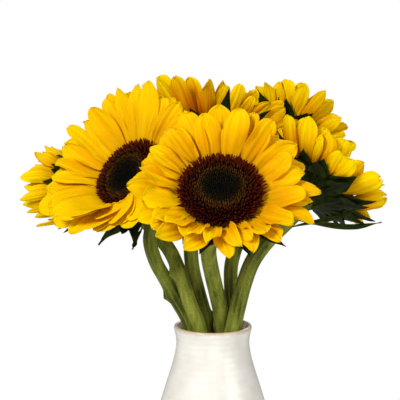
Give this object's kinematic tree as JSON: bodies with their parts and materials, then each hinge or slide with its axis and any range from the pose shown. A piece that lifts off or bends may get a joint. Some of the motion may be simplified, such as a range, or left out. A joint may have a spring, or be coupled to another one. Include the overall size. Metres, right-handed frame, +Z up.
{
  "type": "bouquet of sunflowers in a vase",
  "caption": "Upright bunch of cut sunflowers, facing different ways on thick green stems, standing in a plain shouldered glazed vase that holds water.",
  "frame": {"origin": "centre of the vase's flat base, on the surface it stands on", "axes": "+Z up, -Y towards the viewer, where the front flower faces, +X to the right seen from the front"},
  "size_m": [0.2905, 0.2732, 0.4074],
  "materials": {
    "petal": "golden yellow sunflower petals, satin, with a warm orange base and lengthwise creases",
    "seed_disc": "dark maroon-brown disc florets with a near-black olive centre, matt",
    "bract": "dark green hairy bracts, matt",
    "leaf": "dark green leaf, satin, with a pale midrib",
    "stem": "light olive green ribbed stem with fine bristles, satin",
    "vase_glaze": "plain off-white glazed stoneware, smooth and glossy",
    "water": "clear still water"
  },
  "bodies": {
    "root": {"vase": "vase_glaze", "water": "water", "stem_a": "stem", "disc_a": "seed_disc", "rays_inner_a": "petal", "rays_outer_a": "petal", "bracts_inner_a": "bract", "bracts_outer_a": "bract", "stem_b": "stem", "disc_b": "seed_disc", "rays_inner_b": "petal", "rays_outer_b": "petal", "bracts_inner_b": "bract", "bracts_outer_b": "bract", "stem_c": "stem", "disc_c": "seed_disc", "rays_inner_c": "petal", "rays_outer_c": "petal", "bracts_inner_c": "bract", "bracts_outer_c": "bract", "stem_d": "stem", "disc_d": "seed_disc", "rays_inner_d": "petal", "rays_outer_d": "petal", "bracts_inner_d": "bract", "bracts_outer_d": "bract", "stem_f": "stem", "disc_f": "seed_disc", "rays_inner_f": "petal", "rays_outer_f": "petal", "bracts_inner_f": "bract", "bracts_outer_f": "bract", "stem_g": "stem", "disc_g": "seed_disc", "rays_inner_g": "petal", "rays_outer_g": "petal", "bracts_inner_g": "bract", "bracts_outer_g": "bract", "leaf_b_long": "leaf", "leaf_b_short": "leaf", "leaf_g_long": "leaf", "leaf_g_short": "leaf"}
  },
  "joints": []
}
